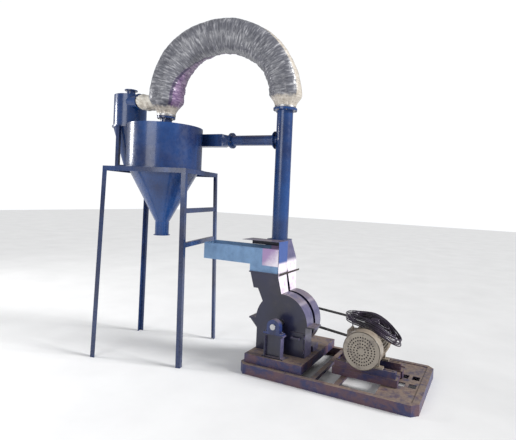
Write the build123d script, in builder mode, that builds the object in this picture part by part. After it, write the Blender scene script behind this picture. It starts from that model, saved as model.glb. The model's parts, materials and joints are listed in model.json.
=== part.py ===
from build123d import *
from math import asin, atan2, cos, degrees, hypot, radians, sin, tan
import os

# Hammer mill with feed tray, blower, cyclone tower and belt drive, in millimetres.
# Origin: centre of the skid's footprint on the floor. +X runs along the skid to the
# motor end, +Y to the rear (the belt side), +Z up.

# ---- overall sizes ----
skid_length = 1800.0
skid_width = 1000.0
skid_height = 100.0
tower_length = 960.0
tower_width = 900.0
tower_height = 2070.0
tower_turn = 15.0
tower_x = -2080.0
tower_y = -399.0

# ---- skid ----
channel_flange = 50.0
channel_web = 6.0
skid_corner_cut = 60.0
deck_thickness = 6.0
deck_length = 330.0
deck_hole_size = (70.0, 90.0)
deck_hole_pitch = (105.0, 200.0)
cross_x = (-120.0, 120.0)
anchor_spacing = (1400.0, 940.0)
anchor_hole = 9.0

# ---- stepped base under the mill ----
plinth_size = (645.0, 930.0, 88.0)
plinth_x = -537.5
plinth_y = 20.0
plinth_wall = 8.0

# ---- mill ----
mill_x = -555.0
drum_radius = 300.0
drum_clearance = 17.0
shaft_z = skid_height + plinth_size[2] + drum_radius + drum_clearance
drum_wall = 8.0
housing_half_width = drum_radius - 15.0
chamber_front = -250.0
chamber_rear = -85.0
fan_front = -35.0
fan_rear = 110.0
lug_reach = drum_radius + 85.0
split_flange = 8.0
throat_low_z = shaft_z + drum_radius - 115.0
throat_top_z = shaft_z + drum_radius + 26.0
neck_low = (mill_x - 221.0, mill_x + 20.0)
neck_high = (mill_x - 290.0, mill_x - 13.0)
shaft_radius = 30.0
shaft_hole = 36.0
fit_gap = 0.5
run_gap = 0.05

# ---- inspection door in the lower housing ----
door_left = mill_x + 130.0
door_right = mill_x + 255.0
door_low = skid_height + plinth_size[2] + 42.0
door_high = shaft_z - 80.0
door_thickness = 10.0

# ---- rotor ----
disc_radius = 205.0
disc_thickness = 6.0
disc_pitch = 25.0
disc_count = 6
pin_circle = 165.0
pin_radius = 9.0
hammer_reach = 97.0
hammer_tail = 24.0
hammer_width = 40.0
hammer_thickness = 5.0
screen_inner = drum_radius - 28.0
screen_front_gap = 16.0
screen_thickness = 2.5
blower_radius = 215.0
blower_width = 80.0
eye_radius = 110.0

# ---- bearings ----
bearing_radius = 72.0
bearing_length = 62.0
bearing_base = (220.0, 60.0, 20.0)
front_bearing_y = -385.0
rear_bearing_y = 162.0
pedestal_top = shaft_z - 80.0
pedestal_width = 240.0
pedestal_depth = 70.0

# ---- feed side ----
chute_front = -250.0
chute_rear = -52.0
gate_z = throat_top_z + 169.0
gate_stack = 12.0
gate_thickness = 3.0
sheet = 3.0
tray_floor_z = gate_z + 80.0
tray_front_top = tray_floor_z + 182.0
tray_rear_top = tray_floor_z + 195.0
hood_z = tray_floor_z + 257.0
hopper_left = mill_x - 403.0
hopper_right = mill_x - 60.0
tray_left = hopper_left - 619.0
hood_left = hopper_left - 102.0

# ---- blower duct and riser ----
duct_front = -45.0
duct_rear = 190.0
duct_shoulder_z = tray_floor_z + 50.0
duct_top_z = hood_z + sheet
riser_x = mill_x - 210.0
riser_y = 48.0
riser_radius = 90.0
riser_top = tower_height + 720.0
riser_flange_radius = riser_radius + 44.0
flange_thickness = 12.0
branch_radius = 59.0
branch_z = tower_height + 380.0
branch_flange_at = 660.0
branch_flange_radius = 91.0

# ---- main cyclone ----
cyclone_radius = 420.0
cyclone_height = 490.0
cyclone_sheet = 4.0
cyclone_seat_radius = 450.0
cone_top_radius = 395.0
cone_bottom_z = tower_height - 600.0
spout_radius = 78.0
spout_bottom_z = cone_bottom_z - 158.0
inlet_width = 120.0
inlet_height = 145.0
inlet_start = 800.0
neck_radius = 66.0
neck_top = tower_height + cyclone_height + 110.0
neck_flange_radius = 102.0

# ---- small cyclone ----
small_x = -593.0
small_y = 210.0
small_radius = 190.0
small_bottom = tower_height + 511.0
small_top = small_bottom + 384.0
small_tip_z = tower_height + 25.0
small_tip_radius = 50.0
small_neck_radius = 50.0
small_neck_top = small_top + 80.0
small_inlet_z = small_top - 95.0
small_inlet_radius = 70.0
small_inlet_offset = 95.0
small_inlet_reach = 260.0

# ---- hoses ----
hose_radius = 185.0
hose_mouth_radius = 100.0
hose_gather = 150.0
hose_spring_z = neck_top + 245.0
short_hose_radius = 80.0

# ---- tower iron ----
angle_size = 50.0
angle_thickness = 5.0
leg_splay = 40.0
rung_heights = (tower_height - 830.0, tower_height - 470.0)

# ---- motor ----
motor_x = 343.0
motor_front = -350.0
cowl_length = 115.0
motor_body_radius = 164.0
cowl_radius = motor_body_radius + 18.0
fin_height = 14.0
motor_body_rear = 165.0
motor_shaft_radius = 24.0
foot_z = 236.0
motor_z = foot_z + motor_body_radius + 16.0
foot_front_y = -197.0
foot_rear_y = 44.0
foot_half_span = motor_body_radius - 24.0
base_height = 70.0
rail_half_length = 320.0

# ---- belt drive ----
pulley_y = 240.0
pulley_width = 63.0
motor_pulley_radius = 117.0
mill_pulley_radius = 104.5
belt_count = 3
belt_pitch = 19.0
belt_width = 15.0
belt_height = 10.0
belt_gap = 0.4

# ---- cable ----
cable_radius = 6.0
coil_left = 258.0
coil_right = 297.0
coil_half_y = 180.0
coil_band = 95.0
coil_height = 85.0
coil_drape = 35.0
coil_lift = 13.0

os.makedirs("parts", exist_ok=True)


def save(block, label):
    """Name a finished sub-part and write its STEP file."""
    block.part.label = label
    export_step(block.part, "parts/" + label + ".step")


def box_between(low, high, mode=Mode.ADD):
    """Add or cut a box given by two opposite corners."""
    size = [high[i] - low[i] for i in range(3)]
    middle = [(high[i] + low[i]) / 2 for i in range(3)]
    with Locations(tuple(middle)):
        Box(size[0], size[1], size[2], mode=mode)


def rod_along_y(x, z, radius, y_low, y_high, mode=Mode.ADD):
    """Add or cut a round bar lying front to rear."""
    with Locations(Location((x, (y_low + y_high) / 2, z), (90, 0, 0))):
        Cylinder(radius, y_high - y_low, mode=mode)


def rect_on(z, x_low, x_high, y_low, y_high):
    """Draw a rectangle on a level plane, ready to loft."""
    with BuildSketch(Plane.XY.offset(z)) as flat:
        with Locations(((x_low + x_high) / 2, (y_low + y_high) / 2)):
            Rectangle(x_high - x_low, y_high - y_low)
    return flat


# ======================= skid =======================
half_l = skid_length / 2
half_w = skid_width / 2


def channel_along_x(y_face, inward):
    """C-channel along the skid; its web stands at y_face, flanges point inward."""
    y_a = y_face
    y_b = y_face + inward * channel_web
    y_c = y_face + inward * channel_flange
    run = half_l - skid_corner_cut
    box_between((-run, min(y_a, y_b), 0), (run, max(y_a, y_b), skid_height))
    box_between((-run, min(y_a, y_c), 0), (run, max(y_a, y_c), channel_web))
    box_between((-run, min(y_a, y_c), skid_height - channel_web), (run, max(y_a, y_c), skid_height))


def end_frame(side):
    """End channel with the two mitred corner plates of the skid."""
    x_face = side * half_l
    x_web = side * (half_l - channel_web)
    x_in = side * (half_l - skid_corner_cut)
    cut = skid_corner_cut
    box_between((min(x_face, x_web), -half_w + cut, 0), (max(x_face, x_web), half_w - cut, skid_height))
    with BuildSketch(Plane.XY) as outline:
        with BuildLine():
            Polyline((x_in, -half_w), (x_face, -half_w + cut), (x_face, half_w - cut),
                     (x_in, half_w), close=True)
        make_face()
    extrude(outline.sketch, amount=channel_web)
    upper = outline.sketch.moved(Location((0, 0, skid_height - channel_web)))
    extrude(upper, amount=channel_web)
    for end in (-1, 1):
        with BuildSketch(Plane.XY) as corner:
            with BuildLine():
                Polyline((x_in, end * half_w), (x_face, end * (half_w - cut)),
                         (x_face, end * (half_w - cut - channel_web)),
                         (x_in, end * (half_w - channel_web)), close=True)
            make_face()
        extrude(corner.sketch, amount=skid_height)


cross_reach = half_w - channel_web
with BuildPart() as skid_frame:
    channel_along_x(-half_w, 1)
    channel_along_x(half_w, -1)
    end_frame(-1)
    end_frame(1)
    for cross in cross_x:
        box_between((cross, -cross_reach, channel_web),
                    (cross + channel_web, cross_reach, skid_height - channel_web))
        box_between((cross, -cross_reach, skid_height - 2 * channel_web),
                    (cross + channel_flange, cross_reach, skid_height - channel_web))
    with Locations((0, 0, 0)):
        with GridLocations(anchor_spacing[0], anchor_spacing[1], 2, 2):
            Cylinder(anchor_hole, 4 * channel_web, mode=Mode.SUBTRACT)
save(skid_frame, "skid_frame")

deck_left = half_l - skid_corner_cut - deck_length
deck_right = half_l - skid_corner_cut
with BuildPart() as skid_deck:
    deck_top = skid_height - channel_web
    box_between((deck_left, -half_w + channel_flange, deck_top - deck_thickness),
                (deck_right, half_w - channel_flange, deck_top))
    with Locations(((deck_left + deck_right) / 2, 0, deck_top)):
        with GridLocations(deck_hole_pitch[0], deck_hole_pitch[1], 3, 2):
            Box(deck_hole_size[0], deck_hole_size[1], 4 * deck_thickness, mode=Mode.SUBTRACT)
save(skid_deck, "skid_deck")

plinth_top = skid_height + plinth_size[2]
with BuildPart() as mill_plinth:
    with Locations((plinth_x, plinth_y, skid_height + plinth_size[2] / 2)):
        Box(*plinth_size)
    with Locations((plinth_x, plinth_y, skid_height + plinth_size[2] / 2 - plinth_wall)):
        Box(plinth_size[0] - 2 * plinth_wall, plinth_size[1] - 2 * plinth_wall,
            plinth_size[2], mode=Mode.SUBTRACT)
save(mill_plinth, "mill_plinth")

# ======================= mill housing =======================
box_low = mill_x - housing_half_width
box_high = mill_x + housing_half_width
wall = drum_wall
split_z = shaft_z

with BuildPart() as mill_lower_housing:
    box_between((box_low, chamber_front, plinth_top), (box_high, chamber_rear, split_z))
    box_between((box_low + wall, chamber_front + wall, plinth_top + wall),
                (box_high - wall, chamber_rear - wall, split_z), mode=Mode.SUBTRACT)
    box_between((mill_x - lug_reach, chamber_front, split_z - split_flange),
                (box_low, chamber_rear, split_z))
    box_between((box_high, chamber_front, split_z - split_flange),
                (mill_x + lug_reach, chamber_rear, split_z))
    with BuildSketch(Plane.XZ.offset(-chamber_front - wall)) as lug_web:
        with BuildLine():
            Polyline((box_low, split_z), (mill_x - lug_reach + 8, split_z), (box_low, split_z - 95),
                     close=True)
        make_face()
    extrude(lug_web.sketch, amount=wall)
    rod_along_y(mill_x, shaft_z, shaft_hole, chamber_front - 1, chamber_rear + 1, mode=Mode.SUBTRACT)
    box_between((door_left, chamber_front - 1, door_low),
                (door_right, chamber_front + wall + 1, door_high),
                mode=Mode.SUBTRACT)
    box_between((mill_x - 130, chamber_rear - wall - 1, plinth_top + 14),
                (mill_x + 130, chamber_rear + 1, split_z - screen_inner + 35), mode=Mode.SUBTRACT)
save(mill_lower_housing, "mill_lower_housing")


def throat(x_low, x_high, y_low, y_high, x_low_top, x_high_top, z_low, inset, mode):
    """Tapered square throat rising from the drum to the joint face."""
    base = rect_on(z_low, x_low + inset, x_high - inset, y_low + inset, y_high - inset)
    top = rect_on(throat_top_z, x_low_top + inset, x_high_top - inset, y_low + inset, y_high - inset)
    loft([base.sketch, top.sketch], mode=mode)


with BuildPart() as mill_upper_casing:
    rod_along_y(mill_x, shaft_z, drum_radius, chamber_front, chamber_rear)
    throat(neck_low[0], neck_low[1], chamber_front, chamber_rear, neck_high[0], neck_high[1],
           throat_low_z, 0.0, Mode.ADD)
    rod_along_y(mill_x, shaft_z, drum_radius - wall, chamber_front + wall, chamber_rear - wall,
                mode=Mode.SUBTRACT)
    throat(neck_low[0], neck_low[1], chamber_front, chamber_rear, neck_high[0], neck_high[1],
           throat_low_z, wall, Mode.SUBTRACT)
    box_between((mill_x - lug_reach, chamber_front, split_z),
                (mill_x + lug_reach, chamber_rear, split_z + split_flange))
    box_between((mill_x - drum_radius + wall, chamber_front + wall, split_z - 1),
                (mill_x + drum_radius - wall, chamber_rear - wall, split_z + split_flange + 1),
                mode=Mode.SUBTRACT)
    rod_along_y(mill_x, shaft_z, shaft_hole, chamber_front - 1, chamber_rear + 1, mode=Mode.SUBTRACT)
    box_between((mill_x - 500, chamber_front - 1, split_z - 400),
                (mill_x + 500, chamber_rear + 1, split_z),
                mode=Mode.SUBTRACT)
save(mill_upper_casing, "mill_upper_casing")

fan_throat = (mill_x - drum_radius, neck_high[1])
with BuildPart() as blower_casing:
    rod_along_y(mill_x, shaft_z, drum_radius, fan_front, fan_rear)
    box_between((fan_throat[0], fan_front, shaft_z), (fan_throat[1], fan_rear, throat_top_z))
    box_between((mill_x - 150, chamber_rear, plinth_top), (mill_x + 150, fan_front, shaft_z + 145))
    box_between((box_low, fan_front, plinth_top), (box_high, fan_rear, plinth_top + 60))
    box_between((fan_throat[0] + wall, fan_front + wall, shaft_z),
                (fan_throat[1] - wall, fan_rear - wall, throat_top_z + 1), mode=Mode.SUBTRACT)
    rod_along_y(mill_x, shaft_z, drum_radius - wall, fan_front + wall, fan_rear - wall,
                mode=Mode.SUBTRACT)
    box_between((mill_x - 142, chamber_rear - 1, plinth_top + 14),
                (mill_x + 142, fan_front - 4, shaft_z + 137), mode=Mode.SUBTRACT)
    rod_along_y(mill_x, shaft_z, eye_radius, fan_front - 5, fan_front + wall + 1, mode=Mode.SUBTRACT)
    rod_along_y(mill_x, shaft_z, shaft_hole, fan_front, fan_rear + 1, mode=Mode.SUBTRACT)
save(blower_casing, "blower_casing")

with BuildPart() as screen:
    rod_along_y(mill_x, shaft_z, screen_inner + screen_thickness, chamber_front + screen_front_gap,
                chamber_rear - wall)
    rod_along_y(mill_x, shaft_z, screen_inner, chamber_front, chamber_rear, mode=Mode.SUBTRACT)
    box_between((mill_x - 400, chamber_front, split_z - 2), (mill_x + 400, chamber_rear, split_z + 400),
                mode=Mode.SUBTRACT)
save(screen, "screen")

door_y = chamber_front - door_thickness
door_rim = 12.0
hinge_x = door_right + door_rim + 8
hinge_y = door_y - 1
with BuildPart() as inspection_door:
    box_between((door_left - door_rim, door_y, door_low - door_rim),
                (door_right + door_rim, chamber_front - fit_gap, door_high + door_rim))
    fillet(inspection_door.edges().filter_by(Axis.Y), 8)
    for hinge_z in (door_low + 25, door_high - 25):
        box_between((hinge_x - 12, hinge_y - 3, hinge_z - 15), (hinge_x, hinge_y + 3, hinge_z + 15))
        with Locations((hinge_x, hinge_y, hinge_z)):
            Cylinder(8, 30)
    grip_low = door_left + 8
    grip_high = door_right - 20
    grip_z = door_high - 50
    box_between((grip_low, door_y - 34, grip_z), (grip_high, door_y - 20, grip_z + 16))
    box_between((grip_low, door_y - 34, grip_z), (grip_low + 16, door_y, grip_z + 16))
    box_between((grip_high - 16, door_y - 34, grip_z), (grip_high, door_y, grip_z + 16))
save(inspection_door, "inspection_door")

# ======================= bearings =======================


def bearing_stand(y_middle):
    """Welded pedestal on the plinth carrying one plummer block."""
    half_x = pedestal_width / 2
    half_y = pedestal_depth / 2
    box_between((mill_x - half_x, y_middle - half_y, plinth_top),
                (mill_x + half_x, y_middle + half_y, plinth_top + 12))
    box_between((mill_x - half_x, y_middle - half_y, pedestal_top - 12),
                (mill_x + half_x, y_middle + half_y, pedestal_top))
    for side in (-1, 1):
        x_a = mill_x + side * (half_x - 30)
        box_between((x_a - 6, y_middle - half_y, plinth_top), (x_a + 6, y_middle + half_y, pedestal_top))
    box_between((mill_x - half_x + 30, y_middle - 5, plinth_top),
                (mill_x + half_x - 30, y_middle + 5, pedestal_top))


def plummer_block(y_middle):
    """Split plummer block with a running bore for the rotor shaft."""
    base = bearing_base
    box_between((mill_x - base[0] / 2, y_middle - base[1] / 2, pedestal_top),
                (mill_x + base[0] / 2, y_middle + base[1] / 2, pedestal_top + base[2]))
    rod_along_y(mill_x, shaft_z, bearing_radius, y_middle - bearing_length / 2,
                y_middle + bearing_length / 2)
    box_between((mill_x - bearing_radius, y_middle - bearing_length / 2, pedestal_top),
                (mill_x + bearing_radius, y_middle + bearing_length / 2, shaft_z))
    with Locations((mill_x - 90, y_middle, pedestal_top + base[2] + 7),
                   (mill_x + 90, y_middle, pedestal_top + base[2] + 7)):
        Cylinder(11, 14)
    rod_along_y(mill_x, shaft_z, shaft_radius + run_gap, y_middle - 60, y_middle + 60, mode=Mode.SUBTRACT)


with BuildPart() as front_pedestal:
    bearing_stand(front_bearing_y)
save(front_pedestal, "front_pedestal")

with BuildPart() as rear_pedestal:
    bearing_stand(rear_bearing_y)
save(rear_pedestal, "rear_pedestal")

with BuildPart() as front_bearing:
    plummer_block(front_bearing_y)
save(front_bearing, "front_bearing")

with BuildPart() as rear_bearing:
    plummer_block(rear_bearing_y)
save(rear_bearing, "rear_bearing")

# ======================= rotor =======================
disc_first = (chamber_front + chamber_rear) / 2 - disc_pitch * (disc_count - 1) / 2
disc_places = [disc_first + disc_pitch * i for i in range(disc_count)]
shaft_front = front_bearing_y - 45
shaft_rear = pulley_y + pulley_width / 2

with BuildPart() as rotor_shaft:
    rod_along_y(mill_x, shaft_z, shaft_radius, shaft_front, shaft_rear)
    fillet(rotor_shaft.edges().filter_by(GeomType.CIRCLE), 2)
save(rotor_shaft, "rotor_shaft")

pin_angles = (45.0, 135.0, 225.0, 315.0)


def pin_place(angle):
    """Centre of a hammer pin in the X-Z plane."""
    return (mill_x + pin_circle * cos(radians(angle)), shaft_z + pin_circle * sin(radians(angle)))


with BuildPart() as rotor_discs:
    for place in disc_places:
        rod_along_y(mill_x, shaft_z, disc_radius, place - disc_thickness / 2, place + disc_thickness / 2)
    hub_low = disc_places[0] - disc_thickness / 2
    hub_high = disc_places[-1] + disc_thickness / 2
    rod_along_y(mill_x, shaft_z, 50, hub_low, hub_high)
    for angle in pin_angles:
        px, pz = pin_place(angle)
        rod_along_y(px, pz, pin_radius, hub_low - 3, hub_high + 3)
    rod_along_y(mill_x, shaft_z, shaft_radius + fit_gap / 10, hub_low - 10, hub_high + 10,
                mode=Mode.SUBTRACT)
save(rotor_discs, "rotor_discs")

for index, angle in enumerate(pin_angles):
    with BuildPart() as hammer_row:
        px, pz = pin_place(angle)
        blade_middle = (hammer_reach - hammer_tail) / 2
        bz = pz - blade_middle
        for gap_index in range(disc_count - 1):
            gap_y = disc_places[gap_index] + disc_pitch / 2
            with Locations((px, gap_y, bz)):
                Box(hammer_width, hammer_thickness, hammer_reach + hammer_tail)
            rod_along_y(px, pz, pin_radius + run_gap, gap_y - 20, gap_y + 20, mode=Mode.SUBTRACT)
    save(hammer_row, "hammer_row_" + "abcd"[index])

blower_y = (fan_front + fan_rear) / 2
with BuildPart() as blower_wheel:
    rod_along_y(mill_x, shaft_z, blower_radius, blower_y + blower_width / 2 - 6,
                blower_y + blower_width / 2)
    rod_along_y(mill_x, shaft_z, 48, blower_y - 10, blower_y + blower_width / 2)
    for blade in range(8):
        angle = blade * 45.0
        mid = (44 + blower_radius) / 2
        place = (mill_x + mid * cos(radians(angle)), blower_y, shaft_z + mid * sin(radians(angle)))
        with Locations(Location(place, (0, -angle, 0))):
            Box(blower_radius - 44, blower_width, 5)
    rod_along_y(mill_x, shaft_z, shaft_radius + fit_gap / 10, blower_y - 100, blower_y + 100,
                mode=Mode.SUBTRACT)
save(blower_wheel, "blower_wheel")

# ======================= feed chute and gate =======================
gate_low = gate_z - gate_stack / 2
gate_high = gate_z + gate_stack / 2
chute_low = (neck_high[0] - 55, neck_high[1])
chute_high = (hopper_left + 10, hopper_right + sheet)

with BuildPart() as feed_chute:
    foot = rect_on(throat_top_z, chute_low[0], chute_low[1], chute_front, chamber_rear)
    head = rect_on(gate_low, chute_high[0], chute_high[1], chute_front, chute_rear)
    loft([foot.sketch, head.sketch])
    foot_in = rect_on(throat_top_z + 6, neck_high[0] + wall, chute_low[1] - sheet, chute_front + sheet,
                      chamber_rear - sheet)
    head_in = rect_on(gate_low + 1, chute_high[0] + sheet, chute_high[1] - sheet, chute_front + sheet,
                      chute_rear - sheet)
    loft([foot_in.sketch, head_in.sketch], mode=Mode.SUBTRACT)
    box_between((neck_high[0] + wall, chute_front + wall, throat_top_z - 1),
                (neck_high[1] - wall, chamber_rear - wall, throat_top_z + 8), mode=Mode.SUBTRACT)
save(feed_chute, "feed_chute")

frame_low = (chute_high[0] - 12, chute_front - 12)
frame_high = (chute_high[1] + 12, chute_rear + 5)
slot_gap = 0.1
with BuildPart() as gate_frame:
    box_between((frame_low[0], frame_low[1], gate_low), (frame_high[0], frame_high[1], gate_high))
    box_between((chute_high[0] + sheet, chute_front + sheet, gate_low - 1),
                (chute_high[1] - sheet, chute_rear - sheet, gate_high + 1), mode=Mode.SUBTRACT)
    box_between((chute_high[0] - 1, chute_front - 5, gate_z - gate_thickness / 2 - slot_gap),
                (frame_high[0] + 1, chute_rear + 1, gate_z + gate_thickness / 2 + slot_gap),
                mode=Mode.SUBTRACT)
save(gate_frame, "gate_frame")

with BuildPart() as feed_gate:
    box_between((chute_high[0], chute_front - 4, gate_z - gate_thickness / 2),
                (frame_high[0] + 12, chute_rear, gate_z + gate_thickness / 2))
    box_between((frame_high[0] + 10, chute_front - 4, gate_z - 9),
                (frame_high[0] + 15, duct_rear + 26, gate_z + 9))
save(feed_gate, "feed_gate")

with BuildPart() as feed_tray:
    box_between((hopper_left, chute_front, gate_high), (hopper_right, chute_rear, tray_floor_z))
    box_between((hopper_left + sheet, chute_front + sheet, gate_high - 1),
                (hopper_right - sheet, chute_rear - sheet, tray_floor_z + 1), mode=Mode.SUBTRACT)
    box_between((tray_left, chute_front, tray_floor_z), (hopper_right, chute_rear, tray_front_top))
    box_between((tray_left + sheet, chute_front + sheet, tray_floor_z + sheet),
                (hopper_right + 1, chute_rear - sheet, tray_front_top + 1), mode=Mode.SUBTRACT)
    box_between((hopper_left + sheet, chute_front + sheet, tray_floor_z - 1),
                (hopper_right + 1, chute_rear - sheet, tray_front_top), mode=Mode.SUBTRACT)
    box_between((tray_left, chute_rear - sheet, tray_front_top),
                (hopper_right, chute_rear, tray_rear_top))
    box_between((tray_left, chute_front - 8, tray_front_top - sheet),
                (hopper_right, chute_front + sheet, tray_front_top))
save(feed_tray, "feed_tray")

cheek_low = gate_high + 2
with BuildPart() as feed_hood:
    box_between((hood_left, chute_front - 12, hood_z),
                (hopper_right + sheet, duct_front - 1, hood_z + sheet))
    box_between((hopper_right, chute_front, cheek_low), (hopper_right + sheet, duct_front - 1, hood_z))
    box_between((hood_left, duct_front - 4, tray_rear_top + 1), (hopper_right, duct_front - 1, hood_z))
save(feed_hood, "feed_hood")

lip_x = hopper_right + sheet
end_top = tray_front_top - 16
end_rear = duct_front - 2
with BuildPart() as chute_end_plate:
    with BuildSketch(Plane.YZ.offset(lip_x)) as end_shape:
        with BuildLine():
            Polyline((chute_front, end_top), (chute_front, cheek_low), (end_rear, cheek_low),
                     (end_rear, tray_floor_z - 10))
            Spline((end_rear, tray_floor_z - 10), (end_rear - 15, tray_floor_z + 38),
                   (end_rear - 75, tray_floor_z + 104),
                   (end_rear - 148, end_top - 23), (chute_front, end_top))
        make_face()
    extrude(end_shape.sketch, amount=sheet)
save(chute_end_plate, "chute_end_plate")

# ======================= blower duct and riser =======================


def duct_shape(inset, mode):
    """Duct from the blower throat, widening beside the chute, closing to the riser."""
    low = rect_on(throat_top_z, fan_throat[0] + inset, fan_throat[1] - inset, fan_front + inset,
                  fan_rear - inset)
    mid = rect_on(tray_floor_z, hopper_left + inset, hopper_right - inset, duct_front + inset,
                  duct_rear - inset)
    shoulder = rect_on(duct_shoulder_z, hopper_left + inset, hopper_right - inset, duct_front + inset,
                       duct_rear - inset)
    top = rect_on(duct_top_z, riser_x - riser_radius - 12 + inset, riser_x + riser_radius + 12 - inset,
                  duct_front + inset, riser_y + riser_radius + 5 - inset)
    loft([low.sketch, mid.sketch], mode=mode)
    loft([mid.sketch, shoulder.sketch], mode=mode)
    loft([shoulder.sketch, top.sketch], mode=mode)


with BuildPart() as blower_duct:
    duct_shape(0.0, Mode.ADD)
    duct_shape(sheet, Mode.SUBTRACT)
save(blower_duct, "blower_duct")

span_x = tower_x - riser_x
span_y = tower_y - riser_y
span = hypot(span_x, span_y)
inlet_offset = cyclone_radius - inlet_width / 2 - 5
branch_turn = degrees(atan2(-span_y, -span_x) - asin(inlet_offset / span))
branch_dir = (-cos(radians(branch_turn)), -sin(radians(branch_turn)), 0)
branch_plane = Plane(origin=(riser_x, riser_y, branch_z), x_dir=branch_dir, z_dir=(0, 0, 1))

with BuildPart() as riser_pipe:
    box_between((riser_x - riser_radius - 18, duct_front + 1, duct_top_z),
                (riser_x + riser_radius + 18, riser_y + riser_radius + 11, duct_top_z + 6))
    with Locations((riser_x, riser_y, duct_top_z)):
        Cylinder(riser_radius, riser_top - duct_top_z, align=(Align.CENTER, Align.CENTER, Align.MIN))
    with Locations((riser_x, riser_y, riser_top - flange_thickness)):
        Cylinder(riser_flange_radius, flange_thickness, align=(Align.CENTER, Align.CENTER, Align.MIN))
    with Locations((riser_x, riser_y, duct_top_z - 1)):
        Cylinder(riser_radius - sheet, riser_top - duct_top_z + 2,
                 align=(Align.CENTER, Align.CENTER, Align.MIN),
                 mode=Mode.SUBTRACT)
    with Locations(branch_plane * Location((riser_radius, 0, 0), (0, 90, 0))):
        Cylinder(branch_radius - 4, 60, mode=Mode.SUBTRACT)
save(riser_pipe, "riser_pipe")


def along_branch(radius, start, end, mode=Mode.ADD):
    """Round length on the side branch centreline."""
    with Locations(branch_plane * Location(((start + end) / 2, 0, 0), (0, 90, 0))):
        Cylinder(radius, end - start, mode=mode)


with BuildPart() as branch_pipe:
    along_branch(branch_radius, 40, branch_flange_at)
    along_branch(branch_flange_radius + 8, riser_radius + 10, riser_radius + 20)
    along_branch(branch_flange_radius, branch_flange_at - flange_thickness, branch_flange_at)
    along_branch(branch_radius - sheet, 0, branch_flange_at + 1, mode=Mode.SUBTRACT)
    with Locations((riser_x, riser_y, branch_z)):
        Cylinder(riser_radius + 0.3, 400, mode=Mode.SUBTRACT)
save(branch_pipe, "branch_pipe")


def branch_box(start, end, inset, mode=Mode.ADD):
    """Square length on the side branch centreline."""
    with Locations(branch_plane * Location(((start + end) / 2, 0, 0))):
        Box(end - start, inlet_width - 2 * inset, inlet_height - 2 * inset, mode=mode)


def branch_section(at, radius=0.0, inset=0.0):
    """Round outline across the branch; without a radius, the square one of the inlet."""
    across = Plane(origin=branch_plane.from_local_coords((at, 0, 0)), x_dir=(0, 0, 1), z_dir=branch_dir)
    with BuildSketch(across) as section:
        if radius > 0:
            Circle(radius)
        else:
            Rectangle(inlet_height - 2 * inset, inlet_width - 2 * inset)
    return section


transition_end = inlet_start - flange_thickness
with BuildPart() as inlet_transition:
    along_branch(branch_flange_radius, branch_flange_at + 1, branch_flange_at + 1 + flange_thickness)
    along_branch(branch_radius, branch_flange_at + 1, branch_flange_at + 30)
    loft([branch_section(branch_flange_at + 30, branch_radius).sketch,
          branch_section(transition_end - 20).sketch])
    branch_box(transition_end - 20, inlet_start, 0.0)
    loft([branch_section(branch_flange_at + 30, branch_radius - sheet).sketch,
          branch_section(transition_end - 20, inset=sheet).sketch], mode=Mode.SUBTRACT)
    branch_box(transition_end - 21, inlet_start + 1, sheet, mode=Mode.SUBTRACT)
    along_branch(branch_radius - sheet, branch_flange_at, branch_flange_at + 31, mode=Mode.SUBTRACT)
save(inlet_transition, "inlet_transition")

# ======================= main cyclone =======================


def upright(x, y, radius, z_low, z_high, mode=Mode.ADD):
    """Round bar standing at x, y."""
    with Locations((x, y, (z_low + z_high) / 2)):
        Cylinder(radius, z_high - z_low, mode=mode)


def tapered(x, y, low_radius, high_radius, z_low, z_high, mode=Mode.ADD):
    """Truncated cone standing at x, y."""
    with Locations((x, y, (z_low + z_high) / 2)):
        Cone(low_radius, high_radius, z_high - z_low, mode=mode)


cyclone_top = tower_height + cyclone_height
skin = cyclone_sheet
inlet_run = span * cos(asin(inlet_offset / span))
with BuildPart() as cyclone_body:
    upright(tower_x, tower_y, cyclone_radius, tower_height, cyclone_top)
    upright(tower_x, tower_y, cyclone_seat_radius, tower_height, tower_height + 8)
    branch_box(inlet_start, inlet_run - 150, 0.0)
    upright(tower_x, tower_y, cyclone_radius - skin, tower_height + 8, cyclone_top - skin,
            mode=Mode.SUBTRACT)
    branch_box(inlet_start - 1, inlet_run - 130, skin, mode=Mode.SUBTRACT)
    upright(tower_x, tower_y, cone_top_radius - skin, tower_height - 1, tower_height + 10,
            mode=Mode.SUBTRACT)
    upright(tower_x, tower_y, neck_radius + run_gap, cyclone_top - 20, cyclone_top + 1,
            mode=Mode.SUBTRACT)
save(cyclone_body, "cyclone_body")

with BuildPart() as outlet_neck:
    upright(tower_x, tower_y, neck_radius, cyclone_top - 300, neck_top)
    upright(tower_x, tower_y, neck_flange_radius, neck_top - flange_thickness,
            neck_top + flange_thickness)
    upright(tower_x, tower_y, neck_radius + 22, cyclone_top, cyclone_top + 5)
    upright(tower_x, tower_y, neck_radius - sheet, cyclone_top - 301, neck_top + 40, mode=Mode.SUBTRACT)
save(outlet_neck, "outlet_neck")

with BuildPart() as cyclone_cone:
    tapered(tower_x, tower_y, spout_radius, cone_top_radius, cone_bottom_z, tower_height)
    upright(tower_x, tower_y, spout_radius, spout_bottom_z, cone_bottom_z)
    upright(tower_x, tower_y, spout_radius + 14, spout_bottom_z, spout_bottom_z + 6)
    tapered(tower_x, tower_y, spout_radius - skin, cone_top_radius - skin, cone_bottom_z, tower_height,
            mode=Mode.SUBTRACT)
    upright(tower_x, tower_y, spout_radius - skin, spout_bottom_z - 1, cone_bottom_z + 1,
            mode=Mode.SUBTRACT)
save(cyclone_cone, "cyclone_cone")

# ======================= tower =======================
turn = radians(tower_turn)
tower_plane = Plane(origin=(tower_x, tower_y, 0), x_dir=(cos(turn), sin(turn), 0), z_dir=(0, 0, 1))
half_a = tower_length / 2
half_b = tower_width / 2
leg_top = tower_height - angle_size


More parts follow.
